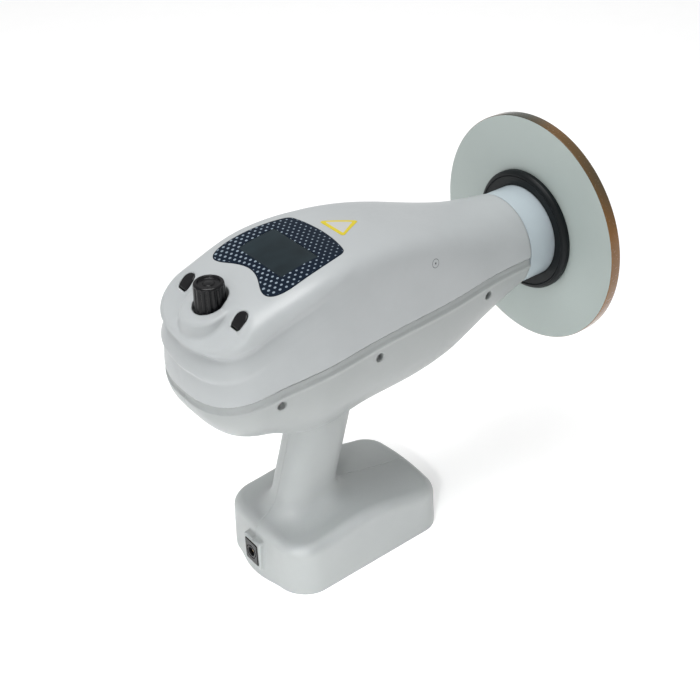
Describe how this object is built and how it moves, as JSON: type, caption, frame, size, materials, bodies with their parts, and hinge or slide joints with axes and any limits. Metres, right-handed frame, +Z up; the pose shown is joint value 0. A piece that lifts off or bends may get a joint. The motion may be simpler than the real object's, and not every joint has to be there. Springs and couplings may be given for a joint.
{
  "type": "handheld intraoral x-ray unit",
  "caption": "Handheld dental X-ray unit: teardrop head with display, dial and buttons, on a raked grip and battery base, with a round shield sliding on an open cone.",
  "frame": {"origin": "centre of the base's flat underside, on the surface the unit stands on", "axes": "+X along the beam, away from the operator; +Y to the operator's left; +Z up, out of the base"},
  "size_m": [0.2911, 0.16, 0.2567],
  "materials": {
    "shell_white": "satin moulded plastic",
    "tube_white": "smooth plastic tube",
    "panel_film": "printed film with pale dots",
    "screen_glass": "dark display window",
    "tube_clear": "clear window",
    "label_yellow": "printed film",
    "black_gloss": "gloss",
    "dark_plastic": "matt",
    "black_rubber": "satin rubber",
    "shield_sheet": "lead acrylic sheet under a pale film",
    "steel": "plated screw",
    "bare_metal": "machined",
    "dark_metal": "dull",
    "brass": "plain",
    "copper": "plain",
    "circuit_board": "solder mask",
    "cell_wrap": "shrink sleeve"
  },
  "bodies": {
    "housing": {"top_cover": "shell_white", "left_housing": "shell_white", "right_housing": "shell_white", "base_cover": "shell_white", "display_overlay": "panel_film", "display_window": "screen_glass", "warning_label": "label_yellow", "lcd_module": "dark_plastic", "dc_inlet": "black_gloss", "encoder_body": "bare_metal", "inlet_pin": "brass", "left_switch": "dark_plastic", "right_switch": "dark_plastic", "buzzer": "dark_plastic", "battery_holder": "dark_plastic", "control_board": "circuit_board", "driver_board": "circuit_board", "charge_board": "circuit_board", "tube_tank": "bare_metal", "tank_cap": "bare_metal", "beam_filter": "bare_metal", "tank_bracket": "bare_metal", "xray_tube": "screen_glass", "cone_window": "tube_clear", "anode_stem": "copper", "transformer_coil": "copper", "transformer_core": "dark_metal", "collimator": "dark_metal", "battery_cell_1": "cell_wrap", "battery_cell_2": "cell_wrap", "battery_cell_3": "cell_wrap", "grip_harness": "black_rubber", "cone_tube": "tube_white", "housing_screw_1": "steel", "housing_screw_2": "steel", "housing_screw_3": "steel", "base_screw_1": "steel", "base_screw_2": "steel", "base_screw_3": "steel", "base_screw_4": "steel"},
    "knob_plunger": {"push_plate": "brass"},
    "knob": {"selector_knob": "black_gloss", "encoder_shaft": "steel"},
    "left_key": {"left_button": "black_gloss"},
    "right_key": {"right_button": "black_gloss"},
    "shield": {"shield_disc": "shield_sheet", "shield_collar": "black_rubber", "shield_retainer": "black_rubber"}
  },
  "joints": [
    {"name": "knob_push", "type": "slide", "parent": "housing", "child": "knob_plunger", "axis": [0, 0, -1], "range_m": [0, 0.0008], "stiffness_N_per_m": 1500, "springref_m": -0.0006},
    {"name": "knob_spin", "type": "hinge", "parent": "knob_plunger", "child": "knob", "pos_m": [-0.08, 0, 0.2113], "axis": [0, 0, 1], "continuous": true},
    {"name": "left_button_push", "type": "slide", "parent": "housing", "child": "left_key", "axis": [0, 0, -1], "range_m": [0, 0.001], "stiffness_N_per_m": 1200, "springref_m": -0.0006},
    {"name": "right_button_push", "type": "slide", "parent": "housing", "child": "right_key", "axis": [0, 0, -1], "range_m": [0, 0.001], "stiffness_N_per_m": 1200, "springref_m": -0.0006},
    {"name": "shield_slide", "type": "slide", "parent": "housing", "child": "shield", "axis": [1, 0, 0], "range_m": [-0.018, 0]}
  ]
}
